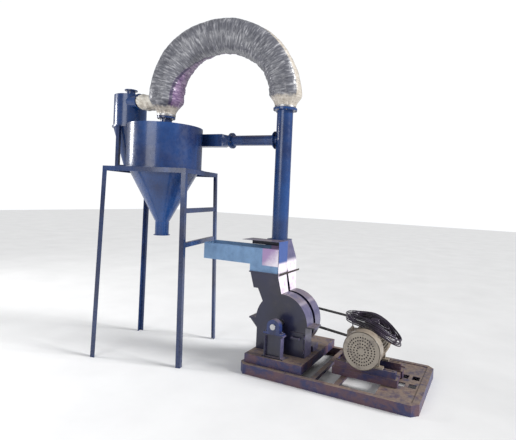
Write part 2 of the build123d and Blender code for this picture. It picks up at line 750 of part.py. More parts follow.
def tower_box(low, high, mode=Mode.ADD):
    """Box given by two corners in the tower's own turned axes."""
    size = [high[i] - low[i] for i in range(3)]
    middle = tuple((high[i] + low[i]) / 2 for i in range(3))
    with Locations(tower_plane * Location(middle)):
        Box(size[0], size[1], size[2], mode=mode)


def tower_span(x_a, x_b, y_a, y_b, z_a, z_b):
    """Tower box that accepts its corner values in any order."""
    tower_box((min(x_a, x_b), min(y_a, y_b), z_a), (max(x_a, x_b), max(y_a, y_b), z_b))


def leg_section(side_x, side_y, splay, level):
    """Angle iron outline of one leg, moved outwards by its splay at that level."""
    corner_x = side_x * (half_a + splay)
    corner_y = side_y * (half_b + splay)
    in_x = corner_x - side_x * angle_size
    in_y = corner_y - side_y * angle_size
    web_x = corner_x - side_x * angle_thickness
    web_y = corner_y - side_y * angle_thickness
    with BuildSketch(tower_plane.offset(level)) as section:
        with BuildLine():
            Polyline((corner_x, corner_y), (in_x, corner_y), (in_x, web_y), (web_x, web_y), (web_x, in_y),
                     (corner_x, in_y), close=True)
        make_face()
    return section.sketch


for name, side_x, side_y in (("a", -1, -1), ("b", 1, -1), ("c", 1, 1), ("d", -1, 1)):
    with BuildPart() as tower_leg:
        loft([leg_section(side_x, side_y, leg_splay, 0), leg_section(side_x, side_y, 0.0, leg_top)])
    save(tower_leg, "tower_leg_" + name)

with BuildPart() as tower_ring:
    for side in (-1, 1):
        face = side * half_b
        tower_span(-half_a, half_a, face, face - side * angle_thickness, leg_top, tower_height)
        tower_span(-half_a, half_a, face, face - side * angle_size, tower_height - angle_thickness,
                   tower_height)
    for side in (-1, 1):
        face = side * half_a
        inner = half_b - angle_thickness
        tower_span(face, face - side * angle_thickness, -inner, inner, leg_top, tower_height)
        tower_span(face, face - side * angle_size, -inner, inner, tower_height - angle_thickness,
                   tower_height)
save(tower_ring, "tower_ring")

for index, level in enumerate(rung_heights):
    with BuildPart() as tower_rung:
        rung_top = level + angle_size
        inside = half_a - angle_thickness + leg_splay * (1 - rung_top / leg_top) - run_gap
        tower_span(inside, inside - angle_thickness, -half_b + angle_thickness, half_b - angle_thickness,
                   level, level + angle_size)
        tower_span(inside, inside - angle_size + 10, -half_b + angle_size, half_b - angle_size,
                   level + angle_size - angle_thickness, level + angle_size)
    save(tower_rung, "tower_rung_" + "ab"[index])

# ======================= small cyclone =======================
small_at = tower_plane.from_local_coords((small_x, small_y, 0))
with BuildPart() as small_cyclone:
    upright(small_at.X, small_at.Y, small_radius, small_bottom, small_top)
    upright(small_at.X, small_at.Y, small_radius + 13, small_bottom - 8, small_bottom + 8)
    tapered(small_at.X, small_at.Y, small_tip_radius, small_radius, small_tip_z, small_bottom)
    inlet_y = small_at.Y - small_inlet_offset
    with Locations(Location((small_at.X + small_inlet_reach / 2, inlet_y, small_inlet_z), (0, 90, 0))):
        Cylinder(small_inlet_radius, small_inlet_reach)
    with Locations(Location((small_at.X + small_inlet_reach - 6, inlet_y, small_inlet_z), (0, 90, 0))):
        Cylinder(small_inlet_radius + 22, flange_thickness)
    tapered(small_at.X, small_at.Y, small_tip_radius - skin, small_radius - skin, small_tip_z,
            small_bottom,
            mode=Mode.SUBTRACT)
    upright(small_at.X, small_at.Y, small_radius - skin, small_bottom - 0.5, small_top - skin,
            mode=Mode.SUBTRACT)
    with Locations(Location((small_at.X + small_inlet_reach - 100, inlet_y, small_inlet_z), (0, 90, 0))):
        Cylinder(small_inlet_radius - skin, 220, mode=Mode.SUBTRACT)
    upright(small_at.X, small_at.Y, small_neck_radius + run_gap, small_top - 10, small_top + 1,
            mode=Mode.SUBTRACT)
save(small_cyclone, "small_cyclone")

with BuildPart() as small_outlet:
    upright(small_at.X, small_at.Y, small_neck_radius, small_top - 200, small_neck_top)
    upright(small_at.X, small_at.Y, small_neck_radius + 26, small_neck_top - flange_thickness,
            small_neck_top)
    upright(small_at.X, small_at.Y, small_neck_radius + 20, small_top, small_top + 5)
    upright(small_at.X, small_at.Y, small_neck_radius - sheet, small_top - 201, small_neck_top + 1,
            mode=Mode.SUBTRACT)
save(small_outlet, "small_outlet")

post = 40.0
with BuildPart() as small_stand:
    for side in (-1, 1):
        arm_y = small_y + side * (small_radius + 18 + post / 2)
        tower_box((small_x - post / 2, arm_y - post / 2, tower_height),
                  (-half_a + 28, arm_y + post / 2, tower_height + post))
        tower_box((small_x - post / 2, arm_y - post / 2, tower_height + post),
                  (small_x + post / 2, arm_y + post / 2, small_bottom - 8))
        pad_in = small_y + side * (small_radius - 5)
        tower_span(small_x - post / 2, small_x + post / 2, pad_in + side * 8, arm_y, small_bottom - 14,
                   small_bottom - 8)
save(small_stand, "small_stand")

# ======================= hoses =======================
arch_plane = Plane(origin=(tower_x, tower_y, 0), x_dir=(-span_x, -span_y, 0),
                   z_dir=(-span_y, span_x, 0))
mouth_low = neck_top + flange_thickness
riser_mouth = riser_top + flange_thickness
mouth_band = 30.0
left_gather_top = mouth_low + mouth_band + hose_gather
riser_gather_top = hose_spring_z
riser_mouth_radius = hose_mouth_radius + 15

with BuildPart() as hose_flange:
    upright(riser_x, riser_y, riser_flange_radius, riser_top, riser_mouth)
    upright(riser_x, riser_y, riser_radius - sheet, riser_top - 1, riser_mouth + 1, mode=Mode.SUBTRACT)
save(hose_flange, "hose_flange")

with BuildPart() as arch_hose:
    with BuildLine(Plane(origin=arch_plane.origin, x_dir=arch_plane.x_dir,
                         z_dir=arch_plane.z_dir)) as route:
        Line((0, left_gather_top), (0, hose_spring_z))
        ThreePointArc((0, hose_spring_z), (span / 2, hose_spring_z + span / 2), (span, hose_spring_z))
    with BuildSketch(Plane(origin=(tower_x, tower_y, left_gather_top), z_dir=(0, 0, 1))) as ring:
        Circle(hose_radius)
    sweep(ring.sketch, path=route.line)
    upright(tower_x, tower_y, hose_mouth_radius, mouth_low, mouth_low + mouth_band)
    tapered(tower_x, tower_y, hose_mouth_radius, hose_radius, mouth_low + mouth_band, left_gather_top)
    upright(riser_x, riser_y, riser_mouth_radius, riser_mouth, riser_mouth + mouth_band)
    tapered(riser_x, riser_y, riser_mouth_radius, hose_radius, riser_mouth + mouth_band, riser_gather_top)
save(arch_hose, "arch_hose")

with BuildPart() as hose_clamps:
    upright(tower_x, tower_y, hose_mouth_radius + 5, mouth_low + 6, mouth_low + 24)
    upright(riser_x, riser_y, riser_mouth_radius + 5, riser_mouth + 6, riser_mouth + 24)
    upright(tower_x, tower_y, hose_mouth_radius + run_gap, mouth_low, mouth_low + 40, mode=Mode.SUBTRACT)
    upright(riser_x, riser_y, riser_mouth_radius + run_gap, riser_mouth, riser_mouth + 40,
            mode=Mode.SUBTRACT)
save(hose_clamps, "hose_clamps")

flange_face_x = small_at.X + small_inlet_reach
with BuildPart() as short_hose:
    short_start = (flange_face_x, inlet_y, small_inlet_z)
    short_end = (tower_x - 60, tower_y - 20, small_inlet_z - 20)
    with BuildLine() as short_route:
        Line(short_start, short_end)
    with BuildSketch(Plane(origin=short_start, z_dir=short_route.line % 0)) as short_ring:
        Circle(short_hose_radius)
    sweep(short_ring.sketch, path=short_route.line)
    add(arch_hose.part, mode=Mode.SUBTRACT)
    box_between((flange_face_x - 40, small_at.Y - 300, small_inlet_z - 200),
                (flange_face_x, small_at.Y + 200, small_inlet_z + 200), mode=Mode.SUBTRACT)
save(short_hose, "short_hose")

# ======================= motor =======================
cowl_rear = motor_front + cowl_length
frame_front = cowl_rear - 20
with BuildPart() as motor_frame:
    rod_along_y(motor_x, motor_z, motor_body_radius, frame_front, motor_body_rear)
    fin_low = cowl_rear + 12
    fin_high = motor_body_rear - 30
    for fin in range(32):
        angle = fin * 360 / 32
        out = motor_body_radius - 3 + fin_height / 2
        place = (motor_x + out * cos(radians(angle)), (fin_low + fin_high) / 2,
                 motor_z + out * sin(radians(angle)))
        with Locations(Location(place, (0, -angle, 0))):
            Box(fin_height + 6, fin_high - fin_low, 4)
    rod_along_y(motor_x, motor_z, motor_body_radius + 8, cowl_rear + 1, cowl_rear + 12)
    rod_along_y(motor_x, motor_z, motor_body_radius + 8, motor_body_rear - 30, motor_body_rear - 8)
    for foot_y in (foot_front_y, foot_rear_y):
        for side in (-1, 1):
            foot_x = motor_x + side * foot_half_span
            box_between((foot_x - 38, foot_y - 30, foot_z), (foot_x + 38, foot_y + 30, foot_z + 18))
            inner_x = foot_x - side * 30
            box_between((min(inner_x, foot_x), foot_y - 10, foot_z),
                        (max(inner_x, foot_x), foot_y + 10, motor_z - 70))
    rod_along_y(motor_x, motor_z, motor_shaft_radius + run_gap, frame_front - 1, motor_body_rear + 1,
                mode=Mode.SUBTRACT)
save(motor_frame, "motor_frame")

with BuildPart() as fan_cowl:
    rod_along_y(motor_x, motor_z, cowl_radius, motor_front, cowl_rear)
    fillet(fan_cowl.faces().sort_by(Axis.Y)[0].edges(), 18)
    rod_along_y(motor_x, motor_z, cowl_radius - 3, motor_front + 3, cowl_rear + 1, mode=Mode.SUBTRACT)
    grille = Plane(origin=(motor_x, motor_front + 1, motor_z), x_dir=(1, 0, 0), z_dir=(0, -1, 0))
    for ring_radius, holes in ((40, 10), (70, 18), (100, 26), (128, 34)):
        for hole in range(holes):
            turn_angle = radians(360 / holes * hole)
            with Locations(grille * Location((ring_radius * cos(turn_angle),
                                              ring_radius * sin(turn_angle), 0))):
                Cylinder(7, 20, mode=Mode.SUBTRACT)
save(fan_cowl, "fan_cowl")

fan_y = cowl_rear - 60
with BuildPart() as motor_shaft:
    rod_along_y(motor_x, motor_z, motor_shaft_radius, fan_y - 20, pulley_y + pulley_width / 2)
save(motor_shaft, "motor_shaft")

with BuildPart() as motor_fan:
    rod_along_y(motor_x, motor_z, 45, fan_y - 16, fan_y + 16)
    rod_along_y(motor_x, motor_z, 150, fan_y + 10, fan_y + 16)
    for blade in range(7):
        angle = blade * 360 / 7
        place = (motor_x + 95 * cos(radians(angle)), fan_y - 4, motor_z + 95 * sin(radians(angle)))
        with Locations(Location(place, (0, -angle, 0))):
            Box(106, 28, 4)
    rod_along_y(motor_x, motor_z, motor_shaft_radius + run_gap, fan_y - 60, fan_y + 60,
                mode=Mode.SUBTRACT)
save(motor_fan, "motor_fan")

box_x = motor_x - motor_body_radius - fin_height
with BuildPart() as terminal_box:
    box_between((box_x - 74, -10, motor_z - 45), (box_x - 2, 130, motor_z + 65))
    fillet(terminal_box.edges().filter_by(Axis.X), 10)
    box_between((box_x - 4, 15, motor_z - 25), (box_x + 18, 105, motor_z + 25))
    with Locations((motor_x, 0, motor_z)):
        Cylinder(motor_body_radius + fin_height + 4, 600, rotation=(90, 0, 0), mode=Mode.SUBTRACT)
    gland_top = motor_z + 65 + 26
    upright(box_x - 38, 60, 15, motor_z + 60, gland_top)
save(terminal_box, "terminal_box")

with BuildPart() as motor_base:
    rail_x_low = motor_x - rail_half_length
    rail_x_high = motor_x + rail_half_length
    for foot_y in (foot_front_y, foot_rear_y):
        box_between((rail_x_low, foot_y - 35, skid_height),
                    (rail_x_high, foot_y + 35, skid_height + base_height))
        box_between((rail_x_low + 8, foot_y - 27, skid_height - 1),
                    (rail_x_high - 8, foot_y + 27, skid_height + base_height - 8), mode=Mode.SUBTRACT)
    for side in (-1, 1):
        tie_x = motor_x + side * (rail_half_length - 40)
        box_between((tie_x - 25, foot_front_y + 35, skid_height + 10),
                    (tie_x + 25, foot_rear_y - 35, skid_height + base_height - 10))
    for foot_y in (foot_front_y, foot_rear_y):
        box_between((rail_x_low + 20, foot_y - 26, skid_height + base_height),
                    (rail_x_high - 20, foot_y + 26, foot_z))
        box_between((rail_x_low + 40, foot_y - 7, skid_height + base_height + 12),
                    (rail_x_high - 40, foot_y + 7, foot_z + 1), mode=Mode.SUBTRACT)
        rod_x = rail_x_high - 20
        with Locations(Location((rod_x + 18, foot_y, foot_z - 30), (0, 90, 0))):
            Cylinder(8, 36)
save(motor_base, "motor_base")

# ======================= belt drive =======================


def grooved_pulley(x, z, radius, bore):
    """V-belt pulley with one groove for each belt."""
    rod_along_y(x, z, radius, pulley_y - pulley_width / 2, pulley_y + pulley_width / 2)
    for belt in range(belt_count):
        groove_y = pulley_y + (belt - (belt_count - 1) / 2) * belt_pitch
        half = belt_width / 2 + belt_gap
        with Locations(Location((x, groove_y, z), (90, 0, 0))):
            Cylinder(radius + 1, 2 * half, mode=Mode.SUBTRACT)
            Cylinder(radius - belt_height - belt_gap, 2 * half)
    rod_along_y(x, z, bore, pulley_y - pulley_width, pulley_y + pulley_width, mode=Mode.SUBTRACT)


with BuildPart() as motor_pulley:
    grooved_pulley(motor_x, motor_z, motor_pulley_radius, motor_shaft_radius + run_gap)
save(motor_pulley, "motor_pulley")

with BuildPart() as mill_pulley:
    grooved_pulley(mill_x, shaft_z, mill_pulley_radius, shaft_radius + run_gap)
save(mill_pulley, "mill_pulley")

centre_x = mill_x - motor_x
centre_z = shaft_z - motor_z
centres = hypot(centre_x, centre_z)


def belt_outline(extra):
    """Closed outline round both pulleys at a height above the groove floor."""
    r_motor = motor_pulley_radius - belt_height + extra
    r_mill = mill_pulley_radius - belt_height + extra
    lead = degrees(atan2(centre_z, centre_x))
    wrap = degrees(asin((r_motor - r_mill) / centres))
    up = radians(lead - 90 - wrap)
    down = radians(lead + 90 + wrap)
    a1 = (motor_x + r_motor * cos(up), motor_z + r_motor * sin(up))
    a2 = (mill_x + r_mill * cos(up), shaft_z + r_mill * sin(up))
    b1 = (motor_x + r_motor * cos(down), motor_z + r_motor * sin(down))
    b2 = (mill_x + r_mill * cos(down), shaft_z + r_mill * sin(down))
    away = radians(lead)
    far_motor = (motor_x - r_motor * cos(away), motor_z - r_motor * sin(away))
    far_mill = (mill_x + r_mill * cos(away), shaft_z + r_mill * sin(away))
    with BuildSketch(Plane.XZ) as shape:
        with BuildLine():
            Line(a1, a2)
            ThreePointArc(a2, far_mill, b2)
            Line(b2, b1)
            ThreePointArc(b1, far_motor, a1)
        make_face()
    return shape


with BuildPart() as v_belts:
    outer_loop = belt_outline(belt_height)
    inner_loop = belt_outline(0.0)
    for belt in range(belt_count):
        belt_y = pulley_y + (belt - (belt_count - 1) / 2) * belt_pitch
        shift = Location((0, belt_y + belt_width / 2, 0))
        extrude(outer_loop.sketch.moved(shift), amount=belt_width)
    for belt in range(belt_count):
        belt_y = pulley_y + (belt - (belt_count - 1) / 2) * belt_pitch
        shift = Location((0, belt_y + belt_width / 2 + 0.5, 0))
        extrude(inner_loop.sketch.moved(shift), amount=belt_width + 1, mode=Mode.SUBTRACT)
save(v_belts, "v_belts")

# ======================= cable =======================
coil_y = -50.0
rest_radius = motor_body_radius + fin_height + 3
coil_floor = motor_z + rest_radius
coil_middle_x = motor_x + (coil_right - coil_left) / 2
coil_half_x = (coil_right + coil_left) / 2


def drape_point(angle, lift):
    """Place over the motor's round back, at an angle from straight up."""
    return (motor_x + rest_radius * sin(radians(angle)), motor_z + rest_radius * cos(radians(angle)) + lift)


def coil_edge(lift):
    """Side view of the coil's underside or top: flat at the left, then down over the motor."""
    shoulder = drape_point(coil_drape, lift)
    end_x = motor_x + coil_right
    end = (end_x, shoulder[1] - (end_x - shoulder[0]) * tan(radians(coil_drape)))
    left = (motor_x - coil_left, coil_floor + coil_lift + lift)
    Line(left, drape_point(0, lift))
    ThreePointArc(drape_point(0, lift), drape_point(coil_drape / 2, lift), shoulder)
    Line(shoulder, end)
    return left, end


def coil_plan(mode):
    """The coil's oval ring seen from above, through its whole height."""
    with BuildSketch(Plane.XY) as ring:
        with Locations((coil_middle_x, coil_y)):
            Ellipse(coil_half_x, coil_half_y)
            Ellipse(coil_half_x - coil_band, coil_half_y - coil_band, mode=Mode.SUBTRACT)
    extrude(ring.sketch, amount=2 * coil_floor, mode=mode)


with BuildPart() as cable_coil:
    with BuildSketch(Plane.XZ) as coil_side:
        with BuildLine():
            low_left, low_end = coil_edge(0.0)
            top_left, top_end = coil_edge(coil_height)
            Line(low_left, top_left)
            Line(low_end, top_end)
        make_face()
    extrude(coil_side.sketch, amount=2 * coil_half_y, both=True)
    coil_plan(Mode.INTERSECT)
save(cable_coil, "cable_coil")

gland_x = box_x - 38
gland_y = 60.0
with BuildPart() as cable_run:
    upright(gland_x, gland_y, cable_radius, gland_top, coil_floor + coil_lift)
save(cable_run, "cable_run")

plug_x_low = motor_x - 30
plug_radii = (14, 27, 31)
plug_z = coil_floor + plug_radii[-1]
inner_edge = coil_middle_x - coil_half_x + coil_band
with BuildPart() as cable_tail:
    with Locations(Location(((inner_edge - 4 + plug_x_low) / 2, coil_y, plug_z), (0, 90, 0))):
        Cylinder(cable_radius, plug_x_low - inner_edge + 4)
    coil_plan(Mode.SUBTRACT)
save(cable_tail, "cable_tail")

with BuildPart() as cable_plug:
    for plug_low, plug_high, plug_radius in zip((0, 26, 84), (26, 84, 116), plug_radii):
        with Locations(Location((plug_x_low + (plug_low + plug_high) / 2, coil_y, plug_z), (0, 90, 0))):
            Cylinder(plug_radius, plug_high - plug_low)
save(cable_plug, "cable_plug")
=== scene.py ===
import json
from math import asin, atan2, cos, pi, radians, sin, tan

import bmesh
import bpy
from mathutils import Matrix, Vector, noise


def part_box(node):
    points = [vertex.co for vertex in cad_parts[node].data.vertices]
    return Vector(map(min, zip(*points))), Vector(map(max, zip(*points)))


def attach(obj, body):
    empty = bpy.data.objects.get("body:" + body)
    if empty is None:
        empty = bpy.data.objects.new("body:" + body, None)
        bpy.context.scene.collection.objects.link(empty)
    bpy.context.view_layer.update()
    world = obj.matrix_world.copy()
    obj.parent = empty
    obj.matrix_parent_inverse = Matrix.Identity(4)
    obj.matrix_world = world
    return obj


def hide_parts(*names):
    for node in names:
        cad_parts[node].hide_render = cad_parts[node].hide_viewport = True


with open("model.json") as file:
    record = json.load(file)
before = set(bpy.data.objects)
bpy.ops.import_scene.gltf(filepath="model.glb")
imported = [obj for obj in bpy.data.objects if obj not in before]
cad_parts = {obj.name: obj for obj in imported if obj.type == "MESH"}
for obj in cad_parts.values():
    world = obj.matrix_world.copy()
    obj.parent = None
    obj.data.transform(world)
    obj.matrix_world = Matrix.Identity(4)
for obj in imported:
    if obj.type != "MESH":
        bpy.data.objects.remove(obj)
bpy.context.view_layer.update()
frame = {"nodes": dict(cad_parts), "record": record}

# Hammer mill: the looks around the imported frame. Metres, +X to the motor, +Y to the belts.

# ---------------------------------------------------------------- camera
CAMERA_PLACE = (1.4145, -4.1356, 1.8201)
CAMERA_YAW = 0.4498
CAMERA_PITCH = -0.0166
CAMERA_ROLL = 0.0441
CAMERA_LENS = 29.32
CAMERA_SHIFT = (-0.0698, -0.0310)


def set_camera():
    """Aim the camera from the front right, a little above the motor."""
    ahead = Vector((-sin(CAMERA_YAW), cos(CAMERA_YAW), 0.0)) * cos(CAMERA_PITCH)
    ahead.z = sin(CAMERA_PITCH)
    level = Vector((cos(CAMERA_YAW), sin(CAMERA_YAW), 0.0))
    above = level.cross(ahead)
    side = level * cos(CAMERA_ROLL) + above * sin(CAMERA_ROLL)
    up = above * cos(CAMERA_ROLL) - level * sin(CAMERA_ROLL)
    data = bpy.data.cameras.new("camera")
    data.sensor_width = 36.0
    data.lens = CAMERA_LENS
    data.shift_x, data.shift_y = CAMERA_SHIFT
    data.clip_end = 60.0
    holder = bpy.data.objects.new("camera", data)
    turn = Matrix((side, up, -ahead)).transposed().to_4x4()
    holder.matrix_world = Matrix.Translation(CAMERA_PLACE) @ turn
    bpy.context.scene.collection.objects.link(holder)
    bpy.context.scene.camera = holder


set_camera()


# ---------------------------------------------------------------- shader tools
class Term:
    """A value inside a finish; the usual operators add the node that works it out."""

    def __init__(self, finish, socket):
        self.finish = finish
        self.socket = socket

    def calc(self, operation, first, second):
        return self.finish.node("ShaderNodeMath", {"operation": operation, "use_clamp": False},
                                {0: first, 1: second})

    def __add__(self, other):
        return self.calc("ADD", self, other)

    def __radd__(self, other):
        return self.calc("ADD", other, self)

    def __sub__(self, other):
        return self.calc("SUBTRACT", self, other)

    def __rsub__(self, other):
        return self.calc("SUBTRACT", other, self)

    def __mul__(self, other):
        return self.calc("MULTIPLY", self, other)

    def __rmul__(self, other):
        return self.calc("MULTIPLY", other, self)


class Finish:
    """One material: its shader, and short ways to add the patterns it is made of."""

    def __init__(self, name):
        self.material = bpy.data.materials.new(name)
        self.material.use_nodes = True
        self.tree = self.material.node_tree
        self.shader = self.tree.nodes["Principled BSDF"]
        self.here = self.node("ShaderNodeTexCoord", {}, {}, "Object")

    def plug(self, socket, value):
        if isinstance(value, Term):
            self.tree.links.new(value.socket, socket)
        elif hasattr(value, "__len__") and len(value) == 3 and socket.type == "RGBA":
            socket.default_value = (*value, 1.0)
        else:
            socket.default_value = value

    def node(self, kind, settings, sockets, output=0):
        made = self.tree.nodes.new(kind)
        for key, value in settings.items():
            if key == "stops":
                band = made.color_ramp
                while len(band.elements) < len(value):
                    band.elements.new(0.5)
                for element, (place, tone) in zip(band.elements, value):
                    element.position = place
                    element.color = (*tone, 1.0) if hasattr(tone, "__len__") else (tone, tone, tone, 1.0)
            else:
                setattr(made, key, value)
        for key, value in sockets.items():
            self.plug(made.inputs[key], value)
        return Term(self, made.outputs[output])

    def stretch(self, scale, source=None):
        return self.node("ShaderNodeMapping", {}, {"Vector": source or self.here, "Scale": scale})

    def noise(self, scale, detail=4.0, rough=0.55, where=None, warp=0.0):
        return self.node("ShaderNodeTexNoise", {},
                         {"Vector": where or self.here, "Scale": scale, "Detail": detail,
                          "Roughness": rough, "Distortion": warp})

    def mask(self, value, low, high):
        return self.node("ShaderNodeMapRange", {"interpolation_type": "SMOOTHSTEP"},
                         {"Value": value, "From Min": low, "From Max": high})

    def ramp(self, value, *stops):
        return self.node("ShaderNodeValToRGB", {"stops": stops}, {"Fac": value})

    def blend(self, factor, first, second):
        return self.node("ShaderNodeMix", {"data_type": "RGBA"}, {"Factor": factor, 6: first, 7: second}, 2)

    def split(self, vector, axis):
        return self.node("ShaderNodeSeparateXYZ", {}, {"Vector": vector}, axis)

    def normal(self, axis):
        return self.split(self.node("ShaderNodeNewGeometry", {}, {}, "Normal"), axis)

    def facing_up(self):
        return self.mask(self.normal("Z"), 0.35, 0.95)

    def relief(self, height, strength, distance, under=None):
        sockets = {"Height": height, "Strength": strength, "Distance": distance}
        if under:
            sockets["Normal"] = under
        return self.node("ShaderNodeBump", {}, sockets)

    def done(self, **sockets):
        for key, value in sockets.items():
            self.plug(self.shader.inputs[key.replace("_", " ")], value)
        return self.material


DUST = (0.36, 0.27, 0.19)
RUST = (0.19, 0.075, 0.03)
PRIMER = (0.30, 0.13, 0.09)
# painted glare colours for the mill's sunlit right-hand faces
GLARE_LILAC = (0.62, 0.44, 0.66)
GLARE_WHITE = (0.90, 0.82, 0.92)


def enamel(name, tone, deep, gloss=0.2, dust=0.5, chips=0.3, flow=0.25, painted_sun=False):
    """Sprayed gloss enamel: orange peel, runs, settled dust, and chips down to primer."""
    f = Finish(name)
    broad = f.noise(2.2, 3.0)
    runs = f.noise(9.0, 5.0, where=f.stretch((1.0, 1.0, 0.12)))
    colour = f.blend(f.mask(broad, 0.30, 0.72), deep, tone)
    pale = tuple(min(1.0, c * 1.9 + 0.01) for c in tone)
    colour = f.blend(f.mask(runs, 0.52, 0.75) * flow, colour, pale)
    # painted_sun paints sunlight, glare and shade into the colour of the mill's right-hand and upper faces
    if painted_sun:
        colour = sunlit(f, colour)
    settled = f.facing_up() * f.mask(f.noise(7.0, 6.0, 0.65), 0.25, 0.62) * dust
    film = f.mask(f.noise(3.1, 8.0, 0.7), 0.50, 0.78) * (dust * 0.16)
    colour = f.blend(settled, colour, DUST)
    colour = f.blend(film, colour, DUST)
    chip = f.mask(f.noise(34.0, 7.0, 0.72, warp=0.6), 0.735 - 0.10 * chips, 0.765 - 0.10 * chips)
    colour = f.blend(chip, colour, f.blend(f.noise(160.0), PRIMER, RUST))
    peel = f.relief(f.noise(230.0, 2.0), 0.10, 0.0006)
    bump = f.relief(1.0 - chip, 0.35, 0.0008, peel)
    rough = f.mask(f.noise(26.0, 5.0), 0.2, 0.8) * 0.16 + gloss
    rough = rough + settled * 0.5 + chip * 0.45 + film * 0.8
    return f.done(Base_Color=colour, Roughness=rough, Normal=bump, Coat_Weight=0.35, Coat_Roughness=0.08)


def sunlit(f, colour):
    """Painted sunlight on the mill's right-hand and upper faces: grey lilac painted light on the rims,
    painted white glare on the neck and duct, and painted shade in blue on the cheek above the chute.
    """
    y = f.split(f.here, "Y")
    z = f.split(f.here, "Z")
    right = f.normal("X")
    patches = f.noise(16.0, 6.0, 0.65)
    # painted light: grey lilac on faces turned to the right and upward
    painted_light_rims = f.mask(right + f.normal("Z"), 0.35, 0.95) * 0.8
    colour = f.blend(painted_light_rims, colour, f.ramp(patches, (0.3, (0.085, 0.085, 0.19)), (0.7, (0.19, 0.17, 0.30))))
    # painted white glare on right-facing faces from 0.70 m to about 1.1 m up
    painted_neck_glare = f.mask(right, 0.60, 0.85) * f.mask(z, 0.700, 0.735) * (1.0 - f.mask(z, 1.09, 1.16))
    colour = f.blend(painted_neck_glare, colour, f.ramp(patches, (0.28, GLARE_LILAC), (0.5, GLARE_WHITE)))
    # painted shade: deep blue on right-facing faces above about 1.1 m, toward the front
    painted_shade_cheek = f.mask(right, 0.60, 0.85) * f.mask(z, 1.10, 1.13) * (1.0 - f.mask(y, -0.0475, -0.0455))
    return f.blend(painted_shade_cheek, colour, (0.016, 0.070, 0.30))


def worn_base(name, paint, dust=0.8, rust=0.5):
    """Floor-level steel: paint mostly hidden by trodden dust, spilt meal and rust."""
    f = Finish(name)
    patches = f.noise(5.5, 9.0, 0.68, warp=0.4)
    grit = f.noise(90.0, 4.0)
    rusted = f.ramp(grit, (0.3, RUST), (0.7, (0.27, 0.13, 0.07)))
    colour = f.blend(f.mask(patches, 0.40, 0.60) * rust, paint, rusted)
    cover = f.facing_up() * f.mask(f.noise(11.0, 8.0, 0.7), 0.28, 0.55) * dust
    colour = f.blend(cover, colour, f.ramp(f.noise(38.0, 6.0), (0.3, (0.20, 0.15, 0.12)), (0.7, DUST)))
    scrape = f.mask(f.noise(14.0, 3.0, where=f.stretch((0.6, 9.0, 9.0))), 0.62, 0.72) * 0.35
    colour = f.blend(scrape, colour, (0.34, 0.33, 0.34))
    bump = f.relief(grit + patches * 1.5, 0.35, 0.0012)
    rough = f.mask(patches, 0.2, 0.8) * 0.25 + 0.42 + cover * 0.3
    return f.done(Base_Color=colour, Roughness=rough, Normal=bump, Coat_Weight=0.12)


def faded_enamel(name, pale, blue):
    """Sun-bleached blue paint on the tray, with painted lilac-white glare at its delivery end and painted
    shade on its inner faces.
    """
    f = Finish(name)
    mottled = f.noise(13.0, 8.0, 0.7)
    colour = f.ramp(mottled, (0.25, blue), (0.48, pale), (0.72, tuple(min(1.0, c * 1.25) for c in pale)))
    streak = f.mask(f.noise(8.0, 5.0, where=f.stretch((1.0, 1.0, 0.15))), 0.5, 0.8) * 0.45
    colour = f.blend(streak, colour, blue)
    x, z = (f.split(f.here, axis) for axis in "XZ")
    # painted glare on the tray's delivery end, beyond x = -0.81 m and above 1.08 m, whiter towards its corner
    painted_tray_glare = f.mask(x, -0.812, -0.804) * f.mask(z, 1.075, 1.085)
    whiter_in_glare = f.mask(x * 1.2 - z + (mottled - 0.5) * 0.25, -2.10, -1.86)
    colour = f.blend(painted_tray_glare, colour, f.blend(whiter_in_glare, (0.40, 0.27, 0.50), (0.92, 0.86, 0.95)))
    chip = f.mask(f.noise(48.0, 7.0, 0.75, warp=0.5), 0.70, 0.735)
    colour = f.blend(chip, colour, RUST)
    # painted shade: faces turned to +Y, the tray's inner faces, darkened to dark blue
    inside = f.mask(f.normal("Y"), 0.6, 0.9) * 0.6
    colour = f.blend(inside, colour, (0.10, 0.11, 0.20))
    bump = f.relief(1.0 - chip, 0.3, 0.0008, f.relief(f.noise(260.0, 2.0), 0.12, 0.0005))
    return f.done(Base_Color=colour, Roughness=mottled * 0.25 + 0.34, Normal=bump, Coat_Weight=0.1)


def bare_steel(name, tone, rough=0.34, brown=0.35):
    """Machined or rubbed steel with turning marks and a little surface rust."""
    f = Finish(name)
    marks = f.noise(120.0, 3.0, where=f.stretch((1.0, 1.0, 9.0)))
    stain = f.mask(f.noise(9.0, 8.0, 0.7), 0.50, 0.74) * brown
    colour = f.blend(stain, f.blend(marks, tone, tuple(c * 0.72 for c in tone)), RUST)
    return f.done(Base_Color=colour, Roughness=marks * 0.2 + rough + stain * 0.4, Metallic=1.0 - stain,
                  Normal=f.relief(marks, 0.15, 0.0004))


def casting(name, tone, grime, coat=0.15):
    """Painted iron casting: sand texture under the paint, grease in blotches."""
    f = Finish(name)
    sand = f.noise(150.0, 5.0, 0.6)
    blotch = f.noise(12.0, 7.0, 0.65)
    colour = f.blend(f.mask(blotch, 0.45, 0.72), tone, grime)
    colour = f.blend(f.facing_up() * 0.35, colour, DUST)
    bump = f.relief(sand, 0.3, 0.0010)
    return f.done(Base_Color=colour, Roughness=blotch * 0.3 + 0.32, Normal=bump, Coat_Weight=coat)


def rubber(name, tone, sheen=0.42):
    """Black rubber with a dusty bloom."""
    f = Finish(name)
    bloom = f.noise(40.0, 6.0, 0.65)
    colour = f.blend(f.mask(bloom, 0.42, 0.75) * 0.5, tone, (0.16, 0.14, 0.15))
    bump = f.relief(f.noise(300.0), 0.2, 0.0004)
    return f.done(Base_Color=colour, Roughness=bloom * 0.25 + sheen, Normal=bump)


